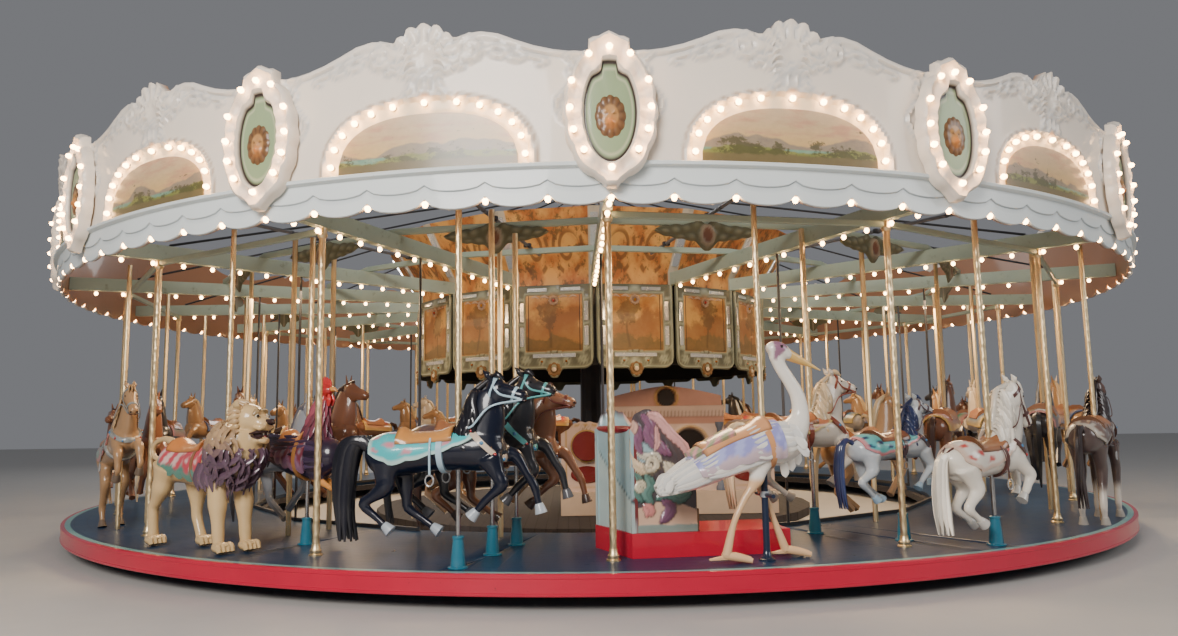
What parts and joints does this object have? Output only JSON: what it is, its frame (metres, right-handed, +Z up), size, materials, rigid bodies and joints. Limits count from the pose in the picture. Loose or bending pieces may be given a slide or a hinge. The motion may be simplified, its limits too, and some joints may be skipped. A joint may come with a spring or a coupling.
{
  "type": "park carousel",
  "caption": "Park carousel: turning deck of carved animals under a cream scalloped crown with painted panels, hung from sweeps on a centre mast; horses rise on poles.",
  "frame": {"origin": "on the ground at the centre of the machine", "axes": "+Z up along the mast, front along -Y, animals at the front face +X"},
  "size_m": [15.92, 15.92, 5.9],
  "materials": {
    "cream_paint": "cream enamel on carved wood, satin, slightly aged",
    "sage_paint": "sage green enamel on timber",
    "brass": "polished twisted tube",
    "iron": "dark machine enamel",
    "timber": "oiled and dusty",
    "deck_paint": "glossy slate blue deck enamel",
    "rim_paint": "glossy red enamel",
    "panel_art": "painted landscape panels in carved frames",
    "ceiling_art": "painted inner ceiling panels",
    "organ_paint": "cream and rose enamel",
    "chariot_paint": "red and pale blue enamel on carved wood",
    "horse_paint": "enamel on carved wood, several coats",
    "black_coat": "gloss black enamel on carved wood",
    "brown_coat": "chestnut enamel on carved wood",
    "tan_coat": "tan enamel on carved wood",
    "white_coat": "ivory enamel on carved wood",
    "plumage": "plum brown enamel on carved wood"
  },
  "bodies": {
    "centre": {"centre_base": "timber", "mast": "iron", "organ_case": "organ_paint"},
    "turntable": {"brown_horse_standing": "brown_coat", "centre_panels": "panel_art", "chariot": "chariot_paint", "cornice": "cream_paint", "crane": "white_coat", "crankshaft_section_01": "iron", "deck": "deck_paint", "deck_joists": "timber", "deck_rim": "rim_paint", "hanger_rods_left_back": "iron", "hanger_rods_left_front": "iron", "hanger_rods_right_back": "iron", "hanger_rods_right_front": "iron", "horses_section_02": "horse_paint", "horses_section_03": "horse_paint", "horses_section_04": "horse_paint", "horses_section_05": "horse_paint", "horses_section_06": "horse_paint", "horses_section_07": "horse_paint", "horses_section_08": "horse_paint", "horses_section_09": "horse_paint", "horses_section_10": "horse_paint", "horses_section_11": "horse_paint", "horses_section_12": "horse_paint", "horses_section_13": "horse_paint", "horses_section_14": "horse_paint", "horses_section_15": "horse_paint", "horses_section_16": "horse_paint", "inner_brace_ring": "sage_paint", "lion": "tan_coat", "outer_brace_ring": "sage_paint", "rope_poles_left_back": "brass", "rope_poles_left_front": "brass", "rope_poles_right_back": "brass", "rope_poles_right_front": "brass", "rounding_boards_left_back": "cream_paint", "rounding_boards_left_front": "cream_paint", "rounding_boards_right_back": "cream_paint", "rounding_boards_right_front": "cream_paint", "sweep_frame": "sage_paint", "tan_horse_standing": "tan_coat", "tie_rods": "iron", "upper_panels": "ceiling_art"},
    "black_horse_rider": {"black_horse": "black_coat"},
    "dark_horse_second_row_rider": {"dark_horse_second_row": "black_coat"},
    "brown_horse_third_row_rider": {"brown_horse_third_row": "brown_coat"},
    "rooster_rider": {"rooster": "plumage"},
    "white_horse_rider": {"white_horse": "white_coat"},
    "grey_horse_second_row_rider": {"grey_horse_second_row": "white_coat"},
    "white_horse_third_row_rider": {"white_horse_third_row": "white_coat"}
  },
  "joints": [
    {"name": "carousel_turn", "type": "hinge", "parent": "centre", "child": "turntable", "pos_m": [0, 0, 0], "axis": [0, 0, 1], "continuous": true},
    {"name": "black_horse_rise", "type": "slide", "parent": "turntable", "child": "black_horse_rider", "axis": [0, 0, 1], "range_m": [-0.15, 0.15]},
    {"name": "dark_horse_second_row_rise", "type": "slide", "parent": "turntable", "child": "dark_horse_second_row_rider", "axis": [0, 0, 1], "range_m": [-0.21, 0.09]},
    {"name": "brown_horse_third_row_rise", "type": "slide", "parent": "turntable", "child": "brown_horse_third_row_rider", "axis": [0, 0, 1], "range_m": [-0.11, 0.19]},
    {"name": "rooster_rise", "type": "slide", "parent": "turntable", "child": "rooster_rider", "axis": [0, 0, 1], "range_m": [-0.15, 0.15]},
    {"name": "white_horse_rise", "type": "slide", "parent": "turntable", "child": "white_horse_rider", "axis": [0, 0, 1], "range_m": [-0.09, 0.21]},
    {"name": "grey_horse_second_row_rise", "type": "slide", "parent": "turntable", "child": "grey_horse_second_row_rider", "axis": [0, 0, 1], "range_m": [-0.11, 0.19]},
    {"name": "white_horse_third_row_rise", "type": "slide", "parent": "turntable", "child": "white_horse_third_row_rider", "axis": [0, 0, 1], "range_m": [-0.23, 0.07]}
  ]
}
